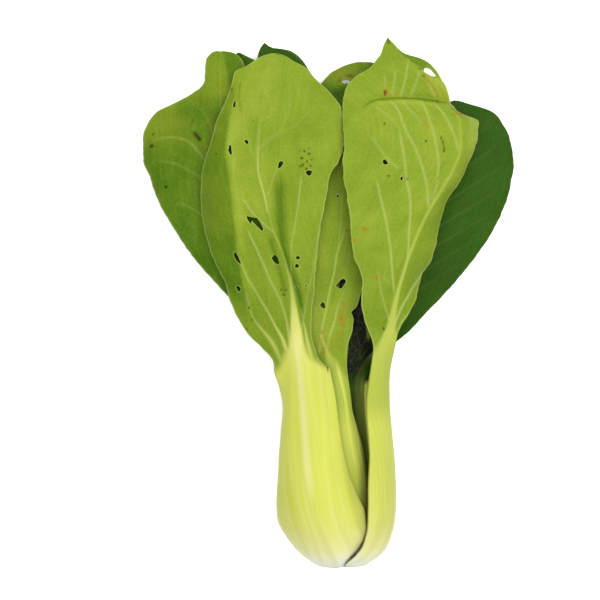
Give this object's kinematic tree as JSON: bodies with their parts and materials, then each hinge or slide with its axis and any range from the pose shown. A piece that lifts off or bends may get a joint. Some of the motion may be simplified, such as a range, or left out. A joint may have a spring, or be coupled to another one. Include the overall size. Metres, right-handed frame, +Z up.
{
  "type": "bok choy",
  "caption": "Head of bok choy lying on its back: thick pale cupped stalks nested round a short cut root, each widening into a thin green blade.",
  "frame": {"origin": "middle of the small flat spot under the thickest part of the head, where it rests on the surface", "axes": "+Y along the head from the cut root to the leaf tips, +Z up from the surface, +X to the right seen from above with the leaf tips away from the viewer"},
  "size_m": [0.1719, 0.2385, 0.0541],
  "materials": {
    "leaf": "fresh leaf, matt light green outside, glossier dark green inside, stalk pale green-white",
    "heart_leaf": "young leaf, pale yellow-green, satin",
    "root": "cut plant stem, matt cream"
  },
  "bodies": {
    "root": {"leaf_right": "leaf", "leaf_under": "leaf", "leaf_front": "leaf", "leaf_under_right": "leaf", "leaf_left": "leaf", "leaf_between": "leaf", "leaf_under_middle": "leaf", "leaf_front_inner": "leaf", "leaf_right_inner": "leaf", "heart_leaf_left": "heart_leaf", "heart_leaf_right": "heart_leaf", "root_stub": "root"}
  },
  "joints": []
}
